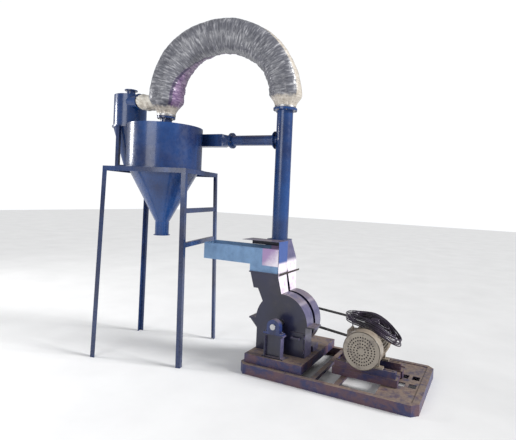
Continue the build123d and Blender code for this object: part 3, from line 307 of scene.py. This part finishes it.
def cable_jacket(name):
    """Glossy black sheath, purple where light catches it, scuffed with clay."""
    f = Finish(name)
    scuff = f.mask(f.noise(22.0, 7.0, 0.7), 0.53, 0.72)
    sheath = f.ramp(f.noise(6.0), (0.35, (0.012, 0.010, 0.016)), (0.65, (0.045, 0.030, 0.062)))
    colour = f.blend(scuff * 0.45, sheath, (0.20, 0.16, 0.17))
    bump = f.relief(f.noise(180.0), 0.25, 0.0005)
    return f.done(Base_Color=colour, Roughness=scuff * 0.3 + 0.28, Coat_Weight=0.2, Normal=bump)


def film_sleeve(name):
    """Grey film over a cloth sleeve: crinkled across, with painted sheen on the crinkles, painted shade and
    ground reflection in plum inside the bend, and painted sunlight in cream on the outer side.
    """
    f = Finish(name)
    along = f.node("ShaderNodeUVMap", {"uv_map": "wrap"}, {})
    length = f.split(along, "X")
    girth = f.split(along, "Y")
    crinkle = f.noise(1.0, 7.0, 0.62, where=f.stretch((120.0, 11.0, 1.0), along), warp=0.35)
    crease = f.noise(1.0, 5.0, 0.6, where=f.stretch((38.0, 26.0, 1.0), along), warp=1.2)
    # the pale top stops of these crinkle ramps are painted sheen on the film's wrinkles; the lower stops are
    # the film's crinkled tone
    grey = f.ramp(crinkle, (0.30, (0.085, 0.088, 0.110)), (0.52, (0.165, 0.168, 0.195)),
                  (0.68, (0.50, 0.50, 0.53)))
    # plum is painted shade, with a painted reflection of the ground, on the sleeve's underside and inner bend
    painted_shade_plum = f.ramp(crinkle, (0.32, (0.10, 0.055, 0.15)), (0.50, (0.24, 0.15, 0.29)),
                  (0.66, (0.52, 0.38, 0.55)))
    # cream stands for painted sunlight on the outer side of the bend; it also colours both mouth ends
    cream = f.ramp(crinkle, (0.30, (0.42, 0.36, 0.29)), (0.60, (0.72, 0.66, 0.58)))
    wander = (crease - 0.5) * 0.03
    lower = f.mask(length, 0.06, 0.52) * 0.21 + 0.335
    upper = f.mask(length, 0.50, 0.78) * 0.105 + 0.015
    past_lower = girth - lower + wander
    rear = f.mask(girth + wander, 0.66, 0.70)
    # mask of the inner bend that gets the painted plum shade
    painted_shade_inner = f.mask(past_lower, -0.006, 0.006) * (1.0 - rear)
    # dark line along the film's overlapped edge: the real lip, darkened with a painted shadow under it
    lip_painted_shadow = f.mask(past_lower, -0.004, 0.004) * (1.0 - f.mask(past_lower, 0.022, 0.034))
    # mask of the rear and outer side that gets the painted sunlight in cream
    painted_sunlit_outer = rear + 1.0 - f.mask(girth - upper + wander, -0.008, 0.008)
    ends = f.mask(length + wander, 0.945, 0.962) + f.mask(1.0 - length + wander, 0.952, 0.966)
    colour = f.blend(painted_sunlit_outer, grey, cream)
    colour = f.blend(painted_shade_inner, colour, painted_shade_plum)
    colour = f.blend(lip_painted_shadow * 0.85, colour, (0.035, 0.032, 0.075))
    colour = f.blend(ends, colour, cream)
    bump = f.relief(crinkle, 0.55, 0.010, f.relief(crease, 0.35, 0.012))
    rough = f.mask(crinkle, 0.3, 0.7) * 0.22 + 0.22
    return f.done(Base_Color=colour, Roughness=rough, Normal=bump, Coat_Weight=0.45, Coat_Roughness=0.16)


def cloth_sleeve(name):
    """Cream filter cloth with a plain weave and soft soiling."""
    f = Finish(name)
    weave = f.noise(420.0, 1.0)
    soil = f.noise(9.0, 7.0, 0.66)
    colour = f.ramp(soil, (0.30, (0.50, 0.44, 0.36)), (0.55, (0.78, 0.74, 0.66)), (0.75, (0.88, 0.86, 0.80)))
    bump = f.relief(weave, 0.4, 0.0010, f.relief(f.noise(34.0, 5.0, warp=0.8), 0.5, 0.008))
    return f.done(Base_Color=colour, Roughness=soil * 0.2 + 0.55, Normal=bump, Sheen_Weight=0.25)


BLUE = (0.010, 0.058, 0.215)
BLUE_DEEP = (0.008, 0.024, 0.100)
NAVY = (0.013, 0.016, 0.058)
NAVY_DEEP = (0.012, 0.011, 0.026)
finishes = {
    "tower_enamel": enamel("tower_enamel", (0.018, 0.050, 0.165), (0.012, 0.022, 0.075),
                           dust=0.4, chips=0.4),
    "skid_enamel": worn_base("skid_enamel", (0.030, 0.034, 0.115), dust=0.75, rust=0.45),
    "cyclone_enamel": enamel("cyclone_enamel", BLUE, BLUE_DEEP, gloss=0.20, dust=0.3, chips=0.05),
    "mill_enamel": enamel("mill_enamel", NAVY, NAVY_DEEP, gloss=0.28, dust=0.4, chips=0.35, painted_sun=True),
    "tray_enamel": faded_enamel("tray_enamel", (0.17, 0.30, 0.50), (0.085, 0.18, 0.36)),
    "gate_steel": bare_steel("gate_steel", (0.10, 0.085, 0.085), 0.5, 0.75),
    "bearing_iron": casting("bearing_iron", (0.018, 0.036, 0.15), (0.012, 0.014, 0.045), 0.4),
    "shaft_steel": bare_steel("shaft_steel", (0.62, 0.62, 0.63), 0.25, 0.15),
    "rotor_steel": bare_steel("rotor_steel", (0.42, 0.40, 0.38), 0.4, 0.5),
    "pulley_iron": casting("pulley_iron", (0.11, 0.11, 0.12), (0.05, 0.045, 0.04)),
    "belt_rubber": rubber("belt_rubber", (0.018, 0.018, 0.018), 0.5),
    "motor_paint": casting("motor_paint", (0.33, 0.29, 0.24), (0.16, 0.13, 0.12), 0.2),
    "fan_plastic": rubber("fan_plastic", (0.03, 0.03, 0.034)),
    "hose_film": film_sleeve("hose_film"),
    "hose_cloth": cloth_sleeve("hose_cloth"),
    "clamp_steel": bare_steel("clamp_steel", (0.55, 0.55, 0.56), 0.3, 0.2),
    "cable_jacket": cable_jacket("cable_jacket"),
    "bolt_zinc": bare_steel("bolt_zinc", (0.30, 0.30, 0.31), 0.38, 0.45),
    "weld_bead": casting("weld_bead", (0.020, 0.055, 0.20), (0.012, 0.020, 0.07), 0.3),
}

for row in frame["record"]["subparts"]:
    part = frame["nodes"].get(row["node"])
    if part is not None:
        part.data.materials.clear()
        part.data.materials.append(finishes[row["material_slot"]])


# ---------------------------------------------------------------- mesh tools
def piece(name, bm, finish, body="frame", stands_for=(), smooth=True):
    """Turn a bmesh into a finished piece that rides on a body."""
    mesh = bpy.data.meshes.new(name)
    for face in bm.faces:
        face.smooth = smooth
    bm.to_mesh(mesh)
    bm.free()
    mesh.materials.append(finishes[finish])
    made = bpy.data.objects.new(name, mesh)
    bpy.context.scene.collection.objects.link(made)
    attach(made, body)
    if stands_for:
        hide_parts(*stands_for)
    return made


def smooth_step(low, high, value):
    """Nought below low, one above high, and an eased rise between them."""
    share = min(1.0, max(0.0, (value - low) / (high - low)))
    return share * share * (3 - 2 * share)


# ---------------------------------------------------------------- supply cable
CABLE_THICK = 0.012
MOTOR_X = 0.343
MOTOR_Z = 0.416
REST_RADIUS = 0.181
DRAPE = radians(35.0)
COIL_REACH = (0.258, 0.297)
COIL_LIFT = 0.013
COIL_Y = -0.050
COIL_HALF = (0.2705, 0.172)
COIL_BAND = 0.080
COIL_LAYERS = 5
TURNS_PER_LAYER = 3
LAYER_RISE = 0.0158
LOWEST_TURN = 0.007
FAN_OUT = 0.016
TURN_POINTS = 14
COIL_START = radians(168)
RISE_POINTS = ((0.127, 0.060, 0.507), (0.127, 0.060, 0.545), (0.125, 0.055, 0.580),
               (0.117, 0.040, 0.603), (0.107, 0.018, 0.613))
TAIL_POINTS = ((0.183, -0.020, 0.668), (0.181, -0.045, 0.660), (0.192, -0.066, 0.650),
               (0.218, -0.074, 0.641), (0.250, -0.068, 0.634), (0.285, -0.055, 0.629),
               (0.316, -0.050, 0.628))


def coil_rest(x):
    """Height of what the coil lies on: level over the motor's left, then down its round back."""
    past = x - MOTOR_X
    shoulder = REST_RADIUS * sin(DRAPE)
    if past < 0:
        return MOTOR_Z + REST_RADIUS - COIL_LIFT * past / COIL_REACH[0]
    if past < shoulder:
        return MOTOR_Z + (REST_RADIUS ** 2 - past ** 2) ** 0.5
    return MOTOR_Z + REST_RADIUS * cos(DRAPE) - (past - shoulder) * tan(DRAPE)


def coil_turns():
    """Loose turns, three to a layer, winding in and then out, fanned out over the motor's back."""
    winding = ((0.0, 0.5, 1.0), (1.0, 0.5, 0.0))
    spreads = [share for layer in range(COIL_LAYERS) for share in winding[layer % 2]]
    spreads.append(spreads[-1])
    middle = MOTOR_X + (COIL_REACH[1] - COIL_REACH[0]) / 2
    points = []
    for step in range(TURN_POINTS * (len(spreads) - 1)):
        turn, part = divmod(step, TURN_POINTS)
        part /= TURN_POINTS
        passing = smooth_step(0.72, 1.0, part)
        spread = spreads[turn] + (spreads[turn + 1] - spreads[turn]) * passing
        layer = turn // TURNS_PER_LAYER
        layer += ((turn + 1) // TURNS_PER_LAYER - layer) * passing
        angle = COIL_START + 2 * pi * part
        sway = 0.006 * sin(2 * angle + 1.7 * turn) + 0.004 * sin(3 * angle + 2.3 * turn)
        fan = FAN_OUT * max(0.0, cos(angle)) * (1 - 2 * spread + 0.6 * sin(2.1 * turn))
        x = middle + (COIL_HALF[0] - COIL_BAND * spread + sway + fan) * cos(angle)
        y = COIL_Y + (COIL_HALF[1] - COIL_BAND * spread + sway) * sin(angle)
        ripple = 0.0025 * sin(2 * angle + 1.3 * turn)
        points.append(Vector((x, y, coil_rest(x) + LOWEST_TURN + LAYER_RISE * layer + ripple)))
    return points


def supply_cable():
    """One cord: straight up out of the gland, round the loose coil, and down inside it to the plug."""
    curve = bpy.data.curves.new("supply_cable", "CURVE")
    curve.dimensions = "3D"
    curve.bevel_depth = CABLE_THICK / 2
    curve.bevel_resolution = 2
    curve.resolution_u = 5
    curve.use_fill_caps = True
    points = [Vector(p) for p in RISE_POINTS] + coil_turns()[:-1] + [Vector(p) for p in TAIL_POINTS]
    spline = curve.splines.new("NURBS")
    spline.points.add(len(points) - 1)
    for knot, place in zip(spline.points, points):
        knot.co = (*place, 1.0)
    spline.order_u = 3
    spline.use_endpoint_u = True
    curve.materials.append(finishes["cable_jacket"])
    cable = bpy.data.objects.new("supply_cable", curve)
    bpy.context.scene.collection.objects.link(cable)
    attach(cable, "frame")
    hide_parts("cable_run", "cable_coil", "cable_tail")
    return cable


PIN_COUNT = 3
PIN_CIRCLE = 0.013
PIN_RADIUS = 0.0030


def cable_plug():
    """Moulded plug: ribbed tail, shouldered grip with finger flats, and a skirt round three pins."""
    bm = bmesh.new()
    low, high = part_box("cable_plug")
    middle = (low + high) / 2
    length = high.x - low.x
    ribbed_tail = ((0.0, 0.0), (0.0, 0.009), (0.05, 0.0125), (0.09, 0.010), (0.13, 0.0135),
                   (0.17, 0.011), (0.21, 0.015), (0.26, 0.013))
    grip = ((0.30, 0.024), (0.36, 0.0285), (0.50, 0.0275), (0.60, 0.0290), (0.66, 0.0305))
    skirt = ((0.68, 0.0308), (0.97, 0.0305), (0.99, 0.0290), (0.99, 0.0255), (0.80, 0.0250), (0.80, 0.0))
    outline = ribbed_tail + grip + skirt
    ring = [bm.verts.new((low.x + length * at, middle.y, middle.z + out)) for at, out in outline]
    edges = [bm.edges.new(pair) for pair in zip(ring, ring[1:])]
    bmesh.ops.spin(bm, geom=ring + edges, cent=middle, axis=(1, 0, 0), angle=2 * pi, steps=28, use_merge=True)
    bmesh.ops.remove_doubles(bm, verts=bm.verts, dist=1e-5)
    for turn in range(PIN_COUNT):
        angle = 2 * pi * turn / PIN_COUNT
        pin = Vector((low.x + length * 0.88, middle.y, middle.z))
        pin += Vector((0.0, cos(angle), sin(angle))) * PIN_CIRCLE
        bmesh.ops.create_cone(bm, cap_ends=True, segments=12, radius1=PIN_RADIUS, radius2=PIN_RADIUS,
                              depth=length * 0.18,
                              matrix=Matrix.Translation(pin) @ Matrix.Rotation(pi / 2, 4, "Y"))
    bmesh.ops.recalc_face_normals(bm, faces=bm.faces)
    return piece("plug_body", bm, "cable_jacket", stands_for=("cable_plug",))


cable = supply_cable()
plug = cable_plug()


# ---------------------------------------------------------------- cloth sleeves
CYCLONE = (-2.080, -0.399)
RISER = (-0.765, 0.048)
LEFT_FOOT = Vector((*CYCLONE, 2.682))
RIGHT_FOOT = Vector((*RISER, 2.802))
SPRING_Z = 2.915
ARCH_RADIUS = 0.185
LEFT_MOUTH = 0.101
RIGHT_MOUTH = 0.116
MOUTH_BAND = 0.030


def arch_line(share):
    """Centre of the arched sleeve at a share of its length, with its outward and front directions there."""
    reach = Vector((RIGHT_FOOT.x - LEFT_FOOT.x, RIGHT_FOOT.y - LEFT_FOOT.y, 0.0))
    span = reach.length
    ahead = reach.normalized()
    front = Vector((ahead.y, -ahead.x, 0.0))
    rise = SPRING_Z - LEFT_FOOT.z
    bend = pi * span / 2
    drop = SPRING_Z - RIGHT_FOOT.z
    run = share * (rise + bend + drop)
    if run < rise:
        return LEFT_FOOT + Vector((0, 0, run)), -ahead, front, run, rise + bend + drop - run
    if run < rise + bend:
        angle = pi - (run - rise) / (span / 2)
        middle = Vector((LEFT_FOOT.x, LEFT_FOOT.y, SPRING_Z)) + ahead * span / 2
        out = ahead * cos(angle) + Vector((0, 0, sin(angle)))
        return middle + out * span / 2, out, front, run, rise + bend + drop - run
    foot = Vector((RIGHT_FOOT.x, RIGHT_FOOT.y, SPRING_Z - (run - rise - bend)))
    return foot, ahead, front, run, rise + bend + drop - run


def sleeve_mesh(name, along, around, place, finish, stands_for):
    """A sleeve made from a grid: place() gives each corner from its share along and round it."""
    bm = bmesh.new()
    bmesh.ops.create_grid(bm, x_segments=along, y_segments=around, size=0.5)
    wrap = bm.loops.layers.uv.new("wrap")
    for face in bm.faces:
        for loop in face.loops:
            loop[wrap].uv = (loop.vert.co.x + 0.5, loop.vert.co.y + 0.5)
    for vert in bm.verts:
        vert.co = place(vert.co.x + 0.5, vert.co.y + 0.5)
    bmesh.ops.remove_doubles(bm, verts=bm.verts, dist=1e-5)
    bmesh.ops.recalc_face_normals(bm, faces=bm.faces)
    made = piece(name, bm, finish, stands_for=stands_for)
    wall = made.modifiers.new("wall", "SOLIDIFY")
    wall.thickness = 0.0018
    wall.offset = -1.0
    return made


def arch_place(share, turn):
    """A point of the arched sleeve: gathered at both mouths, squarish and creased between them."""
    middle, out, front, from_left, from_right = arch_line(share)
    angle = 2 * pi * (turn % 1.0)
    left = LEFT_MOUTH + (ARCH_RADIUS - LEFT_MOUTH) * smooth_step(MOUTH_BAND, 0.19, from_left)
    right = RIGHT_MOUTH + (ARCH_RADIUS - RIGHT_MOUTH) * smooth_step(MOUTH_BAND, 0.16, from_right)
    radius = min(left, right)
    open_share = smooth_step(0.02, 0.30, min(from_left, from_right))
    square = 2.0 + 0.65 * open_share
    rounding = (abs(cos(angle)) ** square + abs(sin(angle)) ** square) ** (1 / square)
    radius *= (1 - 0.03 * open_share) / rounding
    inside = 0.5 - 0.5 * cos(angle)
    ring = Vector((cos(angle), sin(angle), 0)) * 1.6
    folds = noise.noise(Vector((from_left * 17.0, ring.x, ring.y))) * (0.004 + 0.009 * inside)
    fine = noise.noise(Vector((from_left * 46.0, ring.x * 2.2, ring.y * 2.2 + 9.0)))
    fine *= 0.002 + 0.0035 * inside
    sag = noise.noise(Vector((from_left * 3.1, ring.x * 0.9, ring.y * 0.9 + 3.0))) * 0.012
    nearest = min(from_left, from_right)
    gather = smooth_step(0.30, 0.02, nearest) * smooth_step(0.0, 0.05, nearest)
    pleats = cos(angle * 17 + 2.5 * sin(angle)) * 0.0065 * gather
    radius += (folds + fine + sag) * open_share + pleats
    return middle + (out * cos(angle) + front * sin(angle)) * radius


SHORT_START = Vector((-2.4470, -0.4446, 2.870))
SHORT_END = Vector((-2.150, -0.420, 2.850))


def short_place(share, turn):
    """A point of the short sleeve: pleated at the small cyclone, sagging a little between its ends."""
    middle = SHORT_START.lerp(SHORT_END, share)
    middle.z -= 0.012 * sin(pi * share)
    angle = 2 * pi * (turn % 1.0)
    radius = 0.078 + 0.012 * sin(pi * min(1.0, share * 1.15)) ** 0.6
    ring = Vector((cos(angle), sin(angle), 0))
    folds = noise.noise(Vector((share * 6.0, ring.x * 1.8, ring.y * 1.8))) * 0.009
    pleats = cos(angle * 13 + 3.0 * share) * 0.0045 * smooth_step(0.55, 0.05, share)
    side = (SHORT_END - SHORT_START).normalized().cross(Vector((0, 0, 1))).normalized()
    return middle + (side * cos(angle) + Vector((0, 0, 1)) * sin(angle)) * (radius + folds + pleats)


arch = sleeve_mesh("arch_sleeve", 360, 84, arch_place, "hose_film", ("arch_hose",))
short = sleeve_mesh("short_sleeve", 60, 64, short_place, "hose_cloth", ("short_hose",))


# ---------------------------------------------------------------- fastenings
UP = Vector((0.0, 0.0, 1.0))
DOWN = -UP
RIGHT = Vector((1.0, 0.0, 0.0))
FLANGE = 0.012
RISER_BOLT_CIRCLE = 0.121
NECK_BOLT_CIRCLE = 0.087
NECK_FLANGE_LOW = 2.658
BRANCH_Z = 2.450
BRANCH_SET = 0.355
BRANCH_JOINT = 0.648
BRANCH_BOLT_CIRCLE = 0.076
BRANCH_FLANGES = 0.025
MILL_X = -0.555
SPLIT_TOP = 0.513
SPLIT_LUGS = (-0.903, -0.207)
SPLIT_ROWS = (-0.222, -0.112)
BEARING_ROWS = (-0.385, 0.162)
BEARING_BOLT = 0.090
BEARING_FOOT = 0.445
COWL_RADIUS = 0.182
COWL_SCREW_Y = -0.252
SMALL = (-2.7071, -0.3496)
CORNERS = 6


def square_to(axis):
    """Two unit vectors square to an axis and to each other."""
    side = axis.cross(UP if abs(axis.z) < 0.9 else RIGHT).normalized()
    return side, axis.cross(side)


def around(centre, axis, radius, turn):
    """A point on a circle about an axis."""
    side, across = square_to(axis)
    return Vector(centre) + (side * cos(turn) + across * sin(turn)) * radius


def add_round(bm, foot, axis, radius, length, sides, top):
    """Add a closed prism that stands on its foot along an axis and narrows to a share of its width."""
    side, across = square_to(axis)
    stand = Matrix((side, across, axis)).transposed().to_4x4()
    bmesh.ops.create_cone(bm, cap_ends=True, segments=sides, radius1=radius, radius2=radius * top,
                          depth=length, matrix=Matrix.Translation(foot + axis * length / 2) @ stand)


def bolts(name, feet):
    """Washer, hexagon nut and stud end on each foot, given with its axis and the nut's size."""
    bm = bmesh.new()
    for foot, axis, size in feet:
        foot = Vector(foot)
        add_round(bm, foot, axis, size * 1.15, size * 0.18, 14, 1.0)
        add_round(bm, foot + axis * size * 0.18, axis, size * 0.92, size * 0.80, CORNERS, 0.97)
        add_round(bm, foot + axis * size * 0.98, axis, size * 0.50, size * 0.45, 8, 0.85)
    return piece(name, bm, "bolt_zinc", smooth=False)


def bolt_ring(centre, axis, radius, count, size, start):
    """Feet of bolts spaced evenly round a circle."""
    turns = [start + 2 * pi * step / count for step in range(count)]
    return [(around(centre, axis, radius, turn), axis, size) for turn in turns]


def weld_hoops(name, hoops):
    """Rippled fillet welds round upright shells: centre, radius of the shell and of the bead."""
    bm = bmesh.new()
    steps = 96
    for centre, radius, bead in hoops:
        made = bmesh.ops.create_grid(bm, x_segments=steps, y_segments=CORNERS, size=0.5)
        for vert in made["verts"]:
            step = round((vert.co.x + 0.5) * steps) % steps
            corner = round((vert.co.y + 0.5) * CORNERS) % CORNERS
            before = around(centre, UP, radius, 2 * pi * (step - 1) / steps)
            after = around(centre, UP, radius, 2 * pi * (step + 1) / steps)
            thick = bead * (1.0 + 0.16 * sin(step * 2.4))
            middle = around(centre, UP, radius, 2 * pi * step / steps)
            vert.co = around(middle, (after - before).normalized(), thick, pi / 3 * corner)
    bmesh.ops.remove_doubles(bm, verts=bm.verts, dist=1e-6)
    bmesh.ops.recalc_face_normals(bm, faces=bm.faces)
    return piece(name, bm, "weld_bead")


bolts("riser_flange_bolts",
      bolt_ring(RIGHT_FOOT, UP, RISER_BOLT_CIRCLE, 8, 0.0085, 0.2)
      + bolt_ring(RIGHT_FOOT + DOWN * 2 * FLANGE, DOWN, RISER_BOLT_CIRCLE, 8, 0.0085, 0.2))
bolts("neck_flange_bolts", bolt_ring((*CYCLONE, NECK_FLANGE_LOW), DOWN, NECK_BOLT_CIRCLE, 8, 0.0070, 0.1))
to_cyclone = Vector(CYCLONE) - Vector(RISER)
branch_turn = atan2(to_cyclone.y, to_cyclone.x) - asin(BRANCH_SET / to_cyclone.length)
branch_way = Vector((cos(branch_turn), sin(branch_turn), 0.0))
branch_joint = Vector((*RISER, BRANCH_Z)) + branch_way * BRANCH_JOINT
bolts("branch_flange_bolts",
      bolt_ring(branch_joint, -branch_way, BRANCH_BOLT_CIRCLE, 6, 0.0065, 0.3)
      + bolt_ring(branch_joint + branch_way * BRANCH_FLANGES, branch_way, BRANCH_BOLT_CIRCLE, 6, 0.0065, 0.3))
bolts("split_line_bolts", [((x, y, SPLIT_TOP), UP, 0.0075) for x in SPLIT_LUGS for y in SPLIT_ROWS])
bolts("bearing_bolts", [((MILL_X + side * BEARING_BOLT, y, BEARING_FOOT), UP, 0.011)
                        for side in (-1, 1) for y in BEARING_ROWS])
spokes = [Vector((cos(turn), 0.0, sin(turn))) for turn in (radians(start) for start in (45, 135, 225, 315))]
bolts("cowl_screws", [(Vector((MOTOR_X, COWL_SCREW_Y, MOTOR_Z)) + spoke * COWL_RADIUS, spoke, 0.005)
                      for spoke in spokes])
weld_hoops("cyclone_welds", [((*CYCLONE, 2.0725), 0.421, 0.0035), ((*SMALL, 2.5815), 0.191, 0.0028)])


# ---------------------------------------------------------------- floor and light
def studio():
    """Pale floor, even pale surround, a soft sun from the right, and weak fills from front and left."""
    bm = bmesh.new()
    bmesh.ops.create_grid(bm, x_segments=2, y_segments=2, size=30.0)
    mesh = bpy.data.meshes.new("floor")
    bm.to_mesh(mesh)
    bm.free()
    f = Finish("floor")
    tone = f.ramp(f.noise(1.4), (0.3, (0.86, 0.86, 0.86)), (0.7, (0.92, 0.92, 0.92)))
    mesh.materials.append(f.done(Base_Color=tone, Roughness=0.9))
    floor = bpy.data.objects.new("floor", mesh)
    bpy.context.scene.collection.objects.link(floor)
    world = bpy.data.worlds.new("surround")
    world.use_nodes = True
    tree = world.node_tree
    seen = tree.nodes.new("ShaderNodeLightPath")
    glow = tree.nodes.new("ShaderNodeMix")
    glow.inputs["A"].default_value = 0.33
    glow.inputs["B"].default_value = 1.05
    tree.links.new(seen.outputs["Is Camera Ray"], glow.inputs["Factor"])
    tree.links.new(glow.outputs["Result"], tree.nodes["Background"].inputs["Strength"])
    tree.nodes["Background"].inputs["Color"].default_value = (0.97, 0.98, 1.0, 1.0)
    bpy.context.scene.world = world
    bpy.context.scene.view_settings.view_transform = "Standard"
    for name, place, aim, kind, spread, power in (
            ("key", (6.0, 1.4, 5.0), (-0.6, 0.0, 1.0), "SUN", 0.35, 3.3),
            ("soft_front", (-1.8, -7.0, 3.6), (-1.4, 0.0, 1.6), "AREA", 3.4, 130),
            ("left", (-8.0, -2.6, 3.2), (-2.0, -0.3, 2.0), "AREA", 1.4, 150)):
        data = bpy.data.lights.new(name, kind)
        data.energy = power
        if kind == "SUN":
            data.angle = spread
        else:
            data.size = spread
        lamp = bpy.data.objects.new(name, data)
        turn = (Vector(aim) - Vector(place)).to_track_quat("-Z", "Y").to_matrix().to_4x4()
        lamp.matrix_world = Matrix.Translation(place) @ turn
        bpy.context.scene.collection.objects.link(lamp)


studio()
